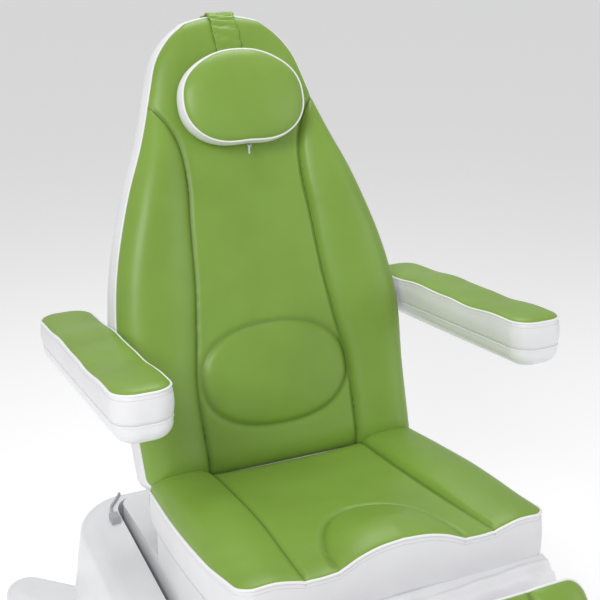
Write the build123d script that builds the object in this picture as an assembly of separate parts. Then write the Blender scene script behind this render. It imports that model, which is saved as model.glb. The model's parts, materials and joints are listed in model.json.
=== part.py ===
from build123d import *
import math
import os

# Facial treatment bed with three drives: lift, backrest and leg rest.
# Millimetres. X runs across the bed, -Y points to the sitter's feet, +Z up, floor at Z = 0.

# ---------------------------------------------------------------- driving dimensions
seat_front_y = -225.0          # front edge of the seat's top
seat_front_z = 590.0           # its height over the floor with the lift down
seat_width = 580.0
seat_length = 470.0            # along the tilted seat, front edge to the backrest's face
seat_tilt = 5.6                # degrees, front edge high
seat_thickness = 90.0
board_front = 34.0             # the seat board's ends, along the seat
board_rear = 372.0
cushion_corner = 34.0          # plan corner radius of seat and leg rest
board_thickness = 12.0
board_inset = 14.0             # the plywood board stands back from its cushion's edge
soft_gap = 0.3                 # between a soft solid and what it rests on

back_recline = 20.0            # degrees from upright
back_length = 894.0            # from the seat to the top of the backrest
back_below = 15.0              # how far the cushion runs down past the seat's top
back_shoulder_height = 350.0   # height of the widest place
back_shoulder_half = 312.0
back_foot_half = 290.0
back_head_half = 115.0
back_thickness = 75.0
back_cover_depth = 40.0
back_cover_inset = 46.0
rear_cover_low = 34.0
rear_cover_wall = 3.5
rear_cover_round = 16.0

hinge_below = 30.0             # backrest pivot: below the seat line, along the backrest
hinge_behind = 45.0            # and behind the backrest's face
hinge_pin_radius = 8.0
pin_fit = 0.05                 # radial clearance of every pivot pin

leg_length = 500.0
leg_width = 572.0
leg_thickness = 88.0
leg_droop = 45.0               # degrees below level with the drive retracted
leg_near_y = 105.0             # its near top edge: ahead of the seat's front edge
leg_near_z = 68.0              # and below it
leg_pivot_y = 22.0             # leg rest pivot: behind the seat's front edge
leg_pivot_z = 142.7            # and below it

arm_inner_x = 326.0
arm_width = 101.0
arm_length = 562.0
arm_slope = 5.2                # degrees, front end high
arm_front_y = 158.0            # front end behind the seat's front edge
arm_front_z = 283.0            # its top over the seat's front edge
arm_pad_height = 50.0
arm_crown = 11.0
arm_shell_depth = 34.0
arm_corner = 40.0
arm_pivot_up = 272.0           # armrest pivot, along the backrest
arm_pivot_behind = 108.0       # and behind its face
arm_pivot_radius = 11.0

pillow_centre_up = 718.0
pillow_width = 252.0
pillow_height = 186.0
pillow_thickness = 74.0
pillow_gap = 3.6               # room for the strap behind the pillow
strap_width = 54.0
strap_thickness = 2.4

arm_bar_length = 600.0         # scissor arm, pivot to pivot
scissor_rest = 16.0            # degrees from level with the lift down
scissor_bar_height = 40.0
scissor_bar_width = 12.0
scissor_rear_y = 415.0         # both fixed pivots stand over this line
scissor_pin_radius = 9.0
outer_bar_x = 218.0            # inner face of the outer bars
inner_bar_x = 196.0            # inner face of the inner bars
rail_height = 44.0
rail_wall = 4.0
rail_depth = 30.0
glide_length = 44.0
glide_play = 0.3
fork_gap = 11.0                # half the room between the two plates that a rod's end sits in
fork_plate = 8.0

base_tube_bottom = 30.0
base_tube_height = 50.0
base_tube_width = 40.0
base_front_y = -200.0
base_rear_y = 445.0
platform_tube_height = 50.0
platform_tube_width = 40.0

hood_half_width = 402.0
hood_front_y = -245.0
hood_rear_y = 532.0
hood_flare = 30.0              # how much wider the skirt is at the floor
hood_top_front = 330.0
hood_top_rear = 392.0
hood_wall = 5.0
hood_roof_wall = 8.0
hood_round = 32.0              # its roof's rounded edge
hood_floor_gap = 24.0
hood_corner = 105.0
hood_draw_in = 25.0            # and how far its sides lean in by the top
hood_loft_over = 60.0          # the sides are drawn up to this far over the roof
hood_roof_slope = (hood_top_rear - hood_top_front) / (hood_rear_y - hood_front_y)
hood_roof_degrees = math.degrees(math.atan(hood_roof_slope))
cover_half_width = 290.0
cover_front_y = -204.0
cover_rear_y = 470.0
cover_wall = 4.0
cover_bottom_z = 84.0
cover_corner = 36.0
front_wall_top = 346.0         # its front wall stays under the leg rest's pivots
cover_deck_z = 404.0           # the cover's low rear deck, under the reclined backrest
cover_gap = 12.0               # between the two covers

foot_tip_x = 470.0
foot_rear_y = 640.0
foot_front_y = -355.0
foot_tip_radius = 48.0
foot_root_radius = 78.0
foot_top_z = 128.0
foot_edge = 22.0               # rounded rim of each foot's top
foot_pad_radius = 24.0
foot_pad_height = 12.0

handset_width = 52.0
handset_length = 150.0
handset_depth = 22.0
handset_x = -190.0
handset_top_z = 330.0
button_radius = 6.0
button_travel = 1.0
button_height = 3.2
cable_radius = 2.6

os.makedirs("parts", exist_ok=True)


# ---------------------------------------------------------------- helpers
def write(name, *solids):
    shape = solids[0] if len(solids) == 1 else Compound(children=list(solids))
    export_step(shape, f"parts/{name}.step")


def block(x0, x1, y0, y1, z0, z1):
    size = Box(x1 - x0, y1 - y0, z1 - z0)
    return Pos((x0 + x1) / 2, (y0 + y1) / 2, (z0 + z1) / 2) * size


def rod_x(x0, x1, y, z, radius):
    rod = Rot(0, 90, 0) * Cylinder(radius, x1 - x0)
    return Pos((x0 + x1) / 2, y, z) * rod


def both_sides(shape):
    return [shape, mirror(shape, Plane.YZ)]


def solid_of(shape):
    return shape.solids()[0]


def turned(y, z, degrees_up):
    """A frame at (0, y, z): its X across, its Y rearwards turned down by degrees_up."""
    angle = math.radians(degrees_up)
    return Plane(origin=(0, y, z), x_dir=(1, 0, 0), z_dir=(0, math.sin(angle), math.cos(angle)))


def rounded_slab(width, length, thickness, corner, edge):
    """A slab under Z = 0, its near edge on Y = 0, with round plan corners and a soft top edge."""
    plan = Pos(0, length / 2) * RectangleRounded(width, length, corner)
    slab = extrude(plan, -thickness)
    return fillet(slab.faces().sort_by(Axis.Z)[-1].edges(), edge)


def rect_tube(x0, x1, y0, y1, z0, z1, along, wall=2.5):
    """A rectangular tube, open at its ends."""
    grow = {"x": (1, 0, 0), "y": (0, 1, 0), "z": (0, 0, 1)}[along]
    inner = [(x0, x1), (y0, y1), (z0, z1)]
    for i in range(3):
        low, high = inner[i]
        inner[i] = (low - 1, high + 1) if grow[i] else (low + wall, high - wall)
    (a0, a1), (b0, b1), (c0, c1) = inner
    return block(x0, x1, y0, y1, z0, z1) - block(a0, a1, b0, b1, c0, c1)


def bar_between(y0, z0, y1, z1, x0, x1, height):
    """A flat bar with round ends from one pivot to the other."""
    length = math.hypot(y1 - y0, z1 - z0)
    across = Plane(origin=(x0, y0, z0), x_dir=(0, y1 - y0, z1 - z0), z_dir=(1, 0, 0))
    plan = Pos(length / 2, 0) * SlotCenterToCenter(length, height)
    return across * extrude(plan, x1 - x0)


# ---------------------------------------------------------------- shared places
seat = turned(seat_front_y, seat_front_z, seat_tilt)
seat_drop = math.tan(math.radians(seat_tilt))
joint_y = seat_front_y + seat_length * math.cos(math.radians(seat_tilt))
joint_z = seat_front_z - seat_length * math.sin(math.radians(seat_tilt))

lean = math.radians(back_recline)
back_up = (math.sin(lean), math.cos(lean))          # (y, z) of the way up the backrest
back_out = (math.cos(lean), -math.sin(lean))        # (y, z) of the way out of its rear
back = Plane(origin=(0, joint_y, joint_z), x_dir=(1, 0, 0),
             z_dir=(0, -math.cos(lean), math.sin(lean)))


def back_point(up, behind):
    y = joint_y + up * back_up[0] + behind * back_out[0]
    z = joint_z + up * back_up[1] + behind * back_out[1]
    return y, z


hinge_y, hinge_z = back_point(-hinge_below, hinge_behind)
arm_pivot_y, arm_pivot_z = back_point(arm_pivot_up, arm_pivot_behind)

leg_hinge_y = seat_front_y + leg_pivot_y
leg_hinge_z = seat_front_z - leg_pivot_z
droop = math.radians(leg_droop)
# the leg rest's frame: X across, Y back towards the seat, Z out of its top
leg = Plane(origin=(0, seat_front_y - leg_near_y, seat_front_z - leg_near_z), x_dir=(1, 0, 0),
            z_dir=(0, -math.sin(droop), math.cos(droop)))


def leg_local(y, z):
    """The (along, out) place of a point (y, z) in the leg rest's frame."""
    dy, dz = y - leg.origin.Y, z - leg.origin.Z
    return dy * math.cos(droop) + dz * math.sin(droop), -dy * math.sin(droop) + dz * math.cos(droop)


base_tube_top = base_tube_bottom + base_tube_height
scissor_low_z = base_tube_top + rail_height / 2
rest = math.radians(scissor_rest)
scissor_high_z = scissor_low_z + arm_bar_length * math.sin(rest)
scissor_front_y = scissor_rear_y - arm_bar_length * math.cos(rest)
scissor_mid_y = (scissor_rear_y + scissor_front_y) / 2
scissor_mid_z = (scissor_low_z + scissor_high_z) / 2
platform_bottom = scissor_high_z + rail_height / 2
platform_top = platform_bottom + platform_tube_height


# ---------------------------------------------------------------- seat
def seat_underside(y):
    return seat_front_z - (y - seat_front_y) * seat_drop - seat_thickness / math.cos(math.radians(seat_tilt))


seat_cushion = rounded_slab(seat_width, seat_length - soft_gap, seat_thickness, cushion_corner, 12)
# the seat's rear end leans like the backrest that it meets
lean_cut = Pos(0, seat_length - soft_gap, 0) * Rot(90 + seat_tilt - 90 - back_recline, 0, 0)
seat_cushion = seat_cushion - lean_cut * Pos(0, 100, 0) * Box(700, 200, 500)
write("seat_cushion", seat * solid_of(seat_cushion))

board_top = -seat_thickness - soft_gap
seat_board = Pos(0, board_front, board_top) * rounded_slab(
    seat_width - 2 * board_inset, board_rear - board_front, board_thickness, cushion_corner / 2, 2)
write("seat_board", seat * solid_of(seat_board))

frame_top = board_top - board_thickness
frame_front = board_front + 20
seat_tube = 25.0
seat_side_x = 205.0
seat_tube_width = 30.0
side_tubes = both_sides(rect_tube(seat_side_x, seat_side_x + seat_tube_width, frame_front,
                                  seat_length - 50, frame_top - seat_tube, frame_top, "y"))
cross_front = rect_tube(-seat_side_x, seat_side_x, frame_front, frame_front + 30,
                        frame_top - seat_tube, frame_top, "x")
cross_mid = rect_tube(-seat_side_x, seat_side_x, 262, 292, frame_top - seat_tube, frame_top, "x")
write("seat_frame", *[seat * solid_of(t) for t in side_tubes + [cross_front, cross_mid]])


# ---------------------------------------------------------------- pivots on the seat frame
lug_thickness = 8.0
back_lug_x = seat_side_x + seat_tube_width


def seat_tube_z(y):
    """The middle of the seat frame's side tube, at y."""
    below_pad = soft_gap + board_thickness + seat_tube / 2
    return seat_underside(y) - below_pad / math.cos(math.radians(seat_tilt))


def with_pivot_hole(plate, y, z):
    return plate - rod_x(-400, 400, y, z, hinge_pin_radius + pin_fit)


elbow = (hinge_y - 3, seat_tube_z(hinge_y))
root_y = joint_y - 90
back_lug = bar_between(root_y, seat_tube_z(root_y), *elbow, back_lug_x, back_lug_x + lug_thickness, 24)
back_lug += bar_between(*elbow, hinge_y, hinge_z, back_lug_x, back_lug_x + lug_thickness, 26)
back_lugs = [solid_of(s) for s in both_sides(with_pivot_hole(back_lug, hinge_y, hinge_z))]
root_y = leg_hinge_y + 60
leg_lug = bar_between(leg_hinge_y, leg_hinge_z, root_y, seat_tube_z(root_y), back_lug_x,
                      back_lug_x + lug_thickness, 24)
leg_lugs = [solid_of(s) for s in both_sides(with_pivot_hole(leg_lug, leg_hinge_y, leg_hinge_z))]
leg_arm_x = seat_side_x + 20
back_arm_x = back_lug_x - 11
lug_pins = both_sides(rod_x(back_arm_x - 3, back_lug_x + lug_thickness + 3, hinge_y, hinge_z,
                            hinge_pin_radius))
lug_pins += both_sides(rod_x(leg_arm_x - 3, back_lug_x + lug_thickness + 3, leg_hinge_y, leg_hinge_z,
                             hinge_pin_radius))
write("hinge_lugs", *back_lugs, *leg_lugs, *lug_pins)


# ---------------------------------------------------------------- backrest
def back_outline(inset, bottom):
    """The backrest's outline, wide at the elbows and narrow at the head."""
    foot, shoulder, head = (back_foot_half - inset, back_shoulder_half - inset,
                            back_head_half - inset * 0.7)
    right = [(foot, bottom), (shoulder, back_shoulder_height), (head, back_length - inset)]
    left = [(-x, y) for x, y in reversed(right)]
    plan = make_face(Polyline(*right, *left, close=True))
    corners = plan.vertices()
    plan = fillet(corners.filter_by(lambda v: abs(v.Y - (back_length - inset)) < 1), 150 - inset)
    plan = fillet(plan.vertices().filter_by(
        lambda v: abs(v.Y - back_shoulder_height) < 1 and abs(v.X) > 200), 500)
    return fillet(plan.vertices().filter_by(lambda v: abs(v.Y - bottom) < 1), 22)


back_cushion = extrude(back_outline(0, -back_below), -back_thickness)
back_cushion = fillet(back_cushion.faces().sort_by(Axis.Z)[-1].edges(), 12)
write("back_cushion", back * solid_of(back_cushion))

back_board_face = -back_thickness - soft_gap
back_board = Pos(0, 0, back_board_face) * extrude(back_outline(12, 0), -board_thickness)
write("back_board", back * solid_of(back_board))

back_frame_face = back_board_face - board_thickness
back_tube = 25.0
back_side_x = 180.0
back_side_width = 24.0
frame_low = -hinge_below - 22
frame_high = 440.0
back_sides = both_sides(rect_tube(back_side_x, back_side_x + back_side_width, frame_low, frame_high,
                                  back_frame_face - back_tube, back_frame_face, "y"))
back_cross = [rect_tube(-back_side_x, back_side_x, up, up + 30, back_frame_face - back_tube,
                        back_frame_face, "x") for up in (40, frame_high - 40)]
arm_shaft_bore = arm_pivot_radius + pin_fit
back_sides = [t - rod_x(-400, 400, arm_pivot_up, -arm_pivot_behind, arm_shaft_bore) for t in back_sides]

# hinge arms that carry the backrest on the seat frame's lugs
hinge_arm_x = back_side_x + back_side_width
hinge_arm = block(hinge_arm_x, hinge_arm_x + 10, frame_low, frame_low + 42,
                  back_frame_face - back_tube, -hinge_behind)
hinge_arm += rod_x(hinge_arm_x, hinge_arm_x + 10, -hinge_below, -hinge_behind, 13)
# the plate stays under the cushion and its board
hinge_arm -= block(0, 400, -back_below - 2, 60, -back_thickness - board_thickness - 2, 30)
hinge_arm -= rod_x(0, 400, -hinge_below, -hinge_behind, hinge_pin_radius + pin_fit)
write("back_hinge_arms", *[back * solid_of(a) for a in both_sides(hinge_arm)])

rear_plan = back_outline(back_cover_inset, rear_cover_low)
rear_shell = extrude(rear_plan, -back_cover_depth)
rear_shell = fillet(rear_shell.faces().sort_by(Axis.Z)[0].edges(), rear_cover_round)
rear_room = Pos(0, 0, 0.5) * extrude(
    back_outline(back_cover_inset + rear_cover_wall, rear_cover_low + rear_cover_wall),
    -back_cover_depth + rear_cover_wall - 0.5)
rear_room = fillet(rear_room.faces().sort_by(Axis.Z)[0].edges(), rear_cover_round - rear_cover_wall)
rear_shell = Pos(0, 0, back_frame_face) * (rear_shell - rear_room)
# the frame's side tubes run out under the cover's lower edge
for x0 in (back_side_x - 1, -back_side_x - back_side_width - 1):
    rear_shell -= block(x0, x0 + back_side_width + 2, 0, 60, back_frame_face - back_tube - 1,
                        back_frame_face + 1)
rear_shell -= rod_x(-400, 400, arm_pivot_up, -arm_pivot_behind, arm_pivot_radius + 1)
# a slot lets the backrest drive's fork through
rear_slot = block(40, 100, 0, 78, back_frame_face - 60, back_frame_face + 1)
write("back_rear_cover", back * solid_of(rear_shell - rear_slot))

arm_shaft_end = arm_inner_x + 52
arm_shaft = rod_x(-arm_shaft_end, arm_shaft_end, arm_pivot_y, arm_pivot_z, arm_pivot_radius)
write("arm_pivot_shaft", arm_shaft)


# ---------------------------------------------------------------- head strap and pillow
strap_low = 640.0
strap_over = back_length + 0.4
strap_front = block(-strap_width / 2, strap_width / 2, strap_low, strap_over,
                    soft_gap, soft_gap + strap_thickness)
strap_top = block(-strap_width / 2, strap_width / 2, strap_over, strap_over + strap_thickness,
                  back_frame_face - soft_gap - strap_thickness, soft_gap + strap_thickness)
strap_rear = block(-strap_width / 2, strap_width / 2, back_length - 36, strap_over,
                   back_frame_face - soft_gap - strap_thickness, back_frame_face - soft_gap)
write("head_strap", back * solid_of(strap_front + strap_top + strap_rear))

pillow_lobe = 60.0
pillow_top = pillow_height / 2
pillow_low = -pillow_top
lobe_x = pillow_width / 2 - pillow_lobe
pillow_rounds = [Circle(pillow_top)] + [
    Pos(x, pillow_low + pillow_lobe) * Circle(pillow_lobe) for x in (-lobe_x, lobe_x)]
pillow_plan = make_hull([edge for piece in pillow_rounds for edge in piece.edges()])
pillow = extrude(pillow_plan, pillow_thickness)
pillow = fillet(pillow.faces().sort_by(Axis.Z)[-1].edges(), 10)
write("head_pillow", back * solid_of(Pos(0, pillow_centre_up, pillow_gap) * pillow))

zip_out = pillow_gap + pillow_thickness * 0.5
zip_low = pillow_centre_up + pillow_low
zip_slider = block(-4, 4, zip_low - 6.2, zip_low - 0.2, zip_out - 3, zip_out + 3)
zip_slider -= rod_x(-2.2, 2.2, zip_low - 4.2, zip_out, 6)
zip_y, zip_z = back_point(zip_low - 4.2, -zip_out)
zip_pin = rod_x(-2.6, 2.6, zip_low - 4.2, zip_out, 0.6)
write("zip_slider", back * solid_of(zip_slider + zip_pin))
zip_tab = block(-1.9, 1.9, -0.75, 0.75, -15, 1.8) - rod_x(-5, 5, 0, 0, 0.65)
write("zip_pull", Pos(0, zip_y, zip_z) * solid_of(zip_tab))


# ---------------------------------------------------------------- armrests
arm_top = turned(seat_front_y + arm_front_y, seat_front_z + arm_front_z, arm_slope)
arm_mid_x = arm_inner_x + arm_width / 2


def arm_local(y, z):
    """The (along, up) place of a point (y, z) in the armrest's frame."""
    slope = math.radians(arm_slope)
    dy, dz = y - arm_top.origin.Y, z - arm_top.origin.Z
    return dy * math.cos(slope) - dz * math.sin(slope), dy * math.sin(slope) + dz * math.cos(slope)


pivot_along, pivot_up = arm_local(arm_pivot_y, arm_pivot_z)
arm_plan = Pos(arm_mid_x, arm_length / 2) * RectangleRounded(arm_width, arm_length, arm_corner)
arm_pad = Pos(0, 0, -arm_pad_height) * extrude(arm_plan, arm_pad_height + arm_crown)
arm_pad = fillet(arm_pad.faces().sort_by(Axis.Z)[-1].edges(), arm_crown - 1)
shell_top = -arm_pad_height - soft_gap
arm_shell = Pos(0, 0, shell_top) * extrude(arm_plan, -arm_shell_depth)
arm_shell = fillet(arm_shell.faces().sort_by(Axis.Z)[0].edges(), arm_shell_depth - 8)
tray_plan = Pos(arm_mid_x, arm_length / 2) * RectangleRounded(arm_width - 46, arm_length - 60, 20)
arm_shell -= Pos(0, 0, shell_top) * extrude(tray_plan, -arm_shell_depth + 6)
bush_radius = 17.0
bush_inner = arm_mid_x - 22
shaft_room = rod_x(arm_inner_x - 1, bush_inner + 1, pivot_along, pivot_up, arm_pivot_radius + 1)
arm_shell -= shaft_room
arm_pad -= shaft_room
bar_low = shell_top - 22
arm_bar = block(arm_mid_x - 15, arm_mid_x + 15, 60, pivot_along, bar_low, bar_low + 20)
arm_bush = rod_x(bush_inner, arm_shaft_end, pivot_along, pivot_up, bush_radius)
arm_bar = arm_bar + arm_bush - rod_x(0, 500, pivot_along, pivot_up, arm_pivot_radius + pin_fit)
# the pad and shell leave room for the bush
bush_room = rod_x(bush_inner - 1, arm_shaft_end + 1, pivot_along, pivot_up, bush_radius + 1)
arm_pad -= bush_room
arm_shell -= bush_room
for side, name in ((1, "right"), (-1, "left")):
    for shape, kind in ((arm_pad, "pad"), (arm_shell, "shell"), (arm_bar, "bar")):
        placed = solid_of(shape) if side > 0 else mirror(solid_of(shape), Plane.YZ)
        write(f"arm_{kind}_{name}", arm_top * placed)


# ---------------------------------------------------------------- leg rest
leg_cushion = Pos(0, -leg_length, 0) * rounded_slab(leg_width, leg_length, leg_thickness,
                                                    cushion_corner, 12)
write("leg_cushion", leg * solid_of(leg_cushion))
leg_board_top = -leg_thickness - soft_gap
leg_board = Pos(0, board_inset - leg_length, leg_board_top) * rounded_slab(
    leg_width - 2 * board_inset, leg_length - 2 * board_inset, board_thickness, cushion_corner / 2, 2)
write("leg_board", leg * solid_of(leg_board))
leg_frame_top = leg_board_top - board_thickness
leg_tube = 25.0
leg_sides = both_sides(rect_tube(seat_side_x, seat_side_x + 20, 70 - leg_length, -20,
                                 leg_frame_top - leg_tube, leg_frame_top, "y"))
leg_cross = rect_tube(-seat_side_x, seat_side_x, 90 - leg_length, 120 - leg_length,
                      leg_frame_top - leg_tube, leg_frame_top, "x")
leg_near_cross = rect_tube(-seat_side_x, seat_side_x, -60, -30,
                           leg_frame_top - leg_tube, leg_frame_top, "x")
pivot_a, pivot_o = leg_local(leg_hinge_y, leg_hinge_z)
leg_arm = bar_between(pivot_a, pivot_o, -70, leg_frame_top - leg_tube / 2, leg_arm_x, leg_arm_x + 8, 34)
leg_arm -= rod_x(0, 400, pivot_a, pivot_o, hinge_pin_radius + pin_fit)
leg_arm -= block(0, 400, -leg_length, 100, leg_frame_top, 50)
write("leg_hinge_arms", *[leg * solid_of(a) for a in both_sides(leg_arm)])

apron_top = seat_underside(seat_front_y) - 1
apron_drop = 26.0               # the leg rest's hinge arms swing up to just below it
write("seat_apron", block(-seat_width / 2 + 8, seat_width / 2 - 8, seat_front_y + 3,
                          seat_front_y + 9, apron_top - apron_drop, apron_top))


# ---------------------------------------------------------------- scissor lift
outer_bar = bar_between(scissor_rear_y, scissor_low_z, scissor_front_y, scissor_high_z,
                        outer_bar_x, outer_bar_x + scissor_bar_width, scissor_bar_height)
inner_bar = bar_between(scissor_rear_y, scissor_high_z, scissor_front_y, scissor_low_z,
                        inner_bar_x, inner_bar_x + scissor_bar_width, scissor_bar_height)


def with_holes(bar, *places):
    for y, z in places:
        bar -= rod_x(0, 500, y, z, scissor_pin_radius + pin_fit)
    return bar


mid = (scissor_mid_y, scissor_mid_z)
outer_bar = with_holes(outer_bar, (scissor_rear_y, scissor_low_z), mid, (scissor_front_y, scissor_high_z))
inner_bar = with_holes(inner_bar, (scissor_rear_y, scissor_high_z), mid, (scissor_front_y, scissor_low_z))
along = (-math.cos(rest), math.sin(rest))
square = (math.sin(rest), math.cos(rest))


def on_outer(distance, over):
    """A point on the outer arms: distance from the lower pivot, height over the bar's line."""
    y = scissor_rear_y + distance * along[0] + over * square[0]
    z = scissor_low_z + distance * along[1] + over * square[1]
    return y, z


tie_radius = 15.0
lift_pull = 150.0
lift_crank = 80.0
tie_y, tie_z = on_outer(lift_pull, 0)
lift_end_y, lift_end_z = on_outer(lift_pull, lift_crank)
eye_room = {"lift": 10.5, "back": 12.5, "leg": 9.5}   # radius of the open holes at the rods' ends
outer_tie = rod_x(-outer_bar_x, outer_bar_x, tie_y, tie_z, tie_radius)
cranks = []
for x0 in (-fork_gap - fork_plate, fork_gap):
    plate = bar_between(tie_y, tie_z, lift_end_y, lift_end_z, x0, x0 + fork_plate, 40)
    plate -= rod_x(-50, 50, tie_y, tie_z, tie_radius)
    plate -= rod_x(-50, 50, lift_end_y, lift_end_z, eye_room["lift"])
    cranks.append(plate)
low_rail_x = inner_bar_x + scissor_bar_width + 2
high_rail_x = outer_bar_x + scissor_bar_width + 2
low_shoe_end = low_rail_x + rail_depth - rail_wall - 2
high_shoe_end = high_rail_x + rail_depth - rail_wall - 2
arm_pins = both_sides(rod_x(outer_bar_x, high_shoe_end - 1, scissor_front_y, scissor_high_z,
                            scissor_pin_radius))
arm_pins += both_sides(rod_x(inner_bar_x, outer_bar_x + scissor_bar_width, *mid, scissor_pin_radius))
write("outer_arms", *[solid_of(b) for b in both_sides(outer_bar)], outer_tie,
      *[solid_of(c) for c in cranks], *arm_pins)

inner_tie_back = 200.0
inner_tie_y = scissor_mid_y - inner_tie_back * math.cos(rest)
inner_tie_z = scissor_mid_z - inner_tie_back * math.sin(rest)
inner_tie = rod_x(-inner_bar_x, inner_bar_x, inner_tie_y, inner_tie_z, tie_radius)
arm_pins = both_sides(rod_x(inner_bar_x, low_shoe_end - 1, scissor_front_y, scissor_low_z,
                            scissor_pin_radius))
write("inner_arms", *[solid_of(b) for b in both_sides(inner_bar)], inner_tie, *arm_pins)


def channel(x0, y0, y1, z):
    """A C-shaped glide rail that opens towards the middle."""
    rail = block(x0, x0 + rail_depth, y0, y1, z - rail_height / 2, z + rail_height / 2)
    return rail - block(x0 - 1, x0 + rail_depth - rail_wall, y0 - 1, y1 + 1,
                        z - rail_height / 2 + rail_wall, z + rail_height / 2 - rail_wall)


def glide(x0, x1, y, z):
    height = rail_height - 2 * rail_wall - 2 * glide_play
    shoe = block(x0, x1, y - glide_length / 2, y + glide_length / 2, z - height / 2, z + height / 2)
    return shoe - rod_x(0, 500, y, z, scissor_pin_radius + pin_fit)


rail_front = scissor_front_y - glide_length / 2 - 8
rail_rear = scissor_front_y + 190
write("lower_glide_rails", *[solid_of(r) for r in both_sides(
    channel(low_rail_x, rail_front, rail_rear, scissor_low_z))])
write("upper_glide_rails", *[solid_of(r) for r in both_sides(
    channel(high_rail_x, rail_front, rail_rear, scissor_high_z))])
write("lower_glide_shoes", *[solid_of(g) for g in both_sides(
    glide(low_rail_x + 1, low_shoe_end, scissor_front_y, scissor_low_z))])
write("upper_glide_shoes", *[solid_of(g) for g in both_sides(
    glide(high_rail_x + 1, high_shoe_end, scissor_front_y, scissor_high_z))])

low_lug_x = outer_bar_x + scissor_bar_width + 2
low_lug = block(low_lug_x, low_lug_x + 10, scissor_rear_y - 24, scissor_rear_y + 24,
                base_tube_top, scissor_low_z + 24)
low_lug -= rod_x(0, 500, scissor_rear_y, scissor_low_z, scissor_pin_radius + pin_fit)
high_lug_x = inner_bar_x - 12
high_lug = block(high_lug_x, high_lug_x + 10, scissor_rear_y - 24, scissor_rear_y + 24,
                 scissor_high_z - 24, platform_bottom)
high_lug -= rod_x(0, 500, scissor_rear_y, scissor_high_z, scissor_pin_radius + pin_fit)
low_pin = rod_x(outer_bar_x, low_lug_x + 12, scissor_rear_y, scissor_low_z, scissor_pin_radius)
high_pin = rod_x(high_lug_x - 2, inner_bar_x + scissor_bar_width, scissor_rear_y, scissor_high_z,
                 scissor_pin_radius)
write("scissor_lower_pivots", *[solid_of(g) for g in both_sides(low_lug) + both_sides(low_pin)])
write("scissor_upper_pivots", *[solid_of(g) for g in both_sides(high_lug) + both_sides(high_pin)])


# ---------------------------------------------------------------- base frame
base_tube_x = low_lug_x + 10 - base_tube_width
base_tubes = both_sides(rect_tube(base_tube_x, base_tube_x + base_tube_width, base_front_y,
                                  base_rear_y, base_tube_bottom, base_tube_top, "y"))
drive_tube_y = -20.0
base_cross_top = base_tube_bottom + 25
cross_places = (base_front_y, drive_tube_y, base_rear_y - base_tube_width)
for y in cross_places:
    base_tubes.append(rect_tube(-base_tube_x, base_tube_x, y, y + base_tube_width,
                                base_tube_bottom, base_cross_top, "x"))
foot_arm_height = 30.0
foot_arms, foot_pads = [], []
for side in (1, -1):
    for tip_y, root_y in ((foot_rear_y, base_rear_y - 30), (foot_front_y, base_front_y + 30)):
        root_x = base_tube_x + base_tube_width
        dx, dy = foot_tip_x - root_x, tip_y - root_y
        length = math.hypot(dx, dy)
        aim = Pos(root_x, root_y, 0) * Rot(0, 0, math.degrees(math.atan2(dy, dx)))
        strut = rect_tube(-30, length + 18, -18, 18, base_tube_bottom,
                          base_tube_bottom + foot_arm_height, "x")
        strut = aim * strut - block(0, root_x, -900, 900, 0, 200)
        foot = Pos(foot_tip_x, tip_y, foot_pad_height / 2) * Cylinder(foot_pad_radius, foot_pad_height)
        stem_height = base_tube_bottom - foot_pad_height
        foot += Pos(foot_tip_x, tip_y, foot_pad_height + stem_height / 2) * Cylinder(8, stem_height)
        foot_arms.append(strut if side > 0 else mirror(strut, Plane.YZ))
        foot_pads.append(foot if side > 0 else mirror(foot, Plane.YZ))
write("base_frame", *[solid_of(t) for t in base_tubes + foot_arms])
write("levelling_feet", *[solid_of(f) for f in foot_pads])


# ---------------------------------------------------------------- platform
platform_x = high_rail_x
platform_tubes = both_sides(rect_tube(platform_x, platform_x + platform_tube_width, rail_front,
                                      scissor_rear_y + 30, platform_bottom, platform_top, "y"))
for y in (rail_front, scissor_rear_y - 20):
    platform_tubes.append(rect_tube(-platform_x, platform_x, y, y + 40, platform_bottom, platform_top, "x"))
write("platform_frame", *[solid_of(t) for t in platform_tubes])

posts = []
for y in (rail_front + 10, 130.0):
    top = seat_underside(y + 30) - board_thickness - seat_tube - 3
    post = block(seat_side_x + 4, seat_side_x + seat_tube_width, y, y + 30, platform_top, top + 30)
    post += block(seat_side_x + 4, platform_x + 30, y, y + 30, platform_top, platform_top + 8)
    under = seat * block(-400, 400, -50, 600, frame_top - seat_tube, 200)
    posts += both_sides(post - under)
write("seat_posts", *[solid_of(p) for p in posts])


# ---------------------------------------------------------------- drives
motor_eye = 15.0
eye_width = 14.0                # both ends of a drive are this wide between their plates
eye_reach = 24.0                # the wider housing and rod stop this far from the pins
clevis_pin_radius = 5.0


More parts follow.
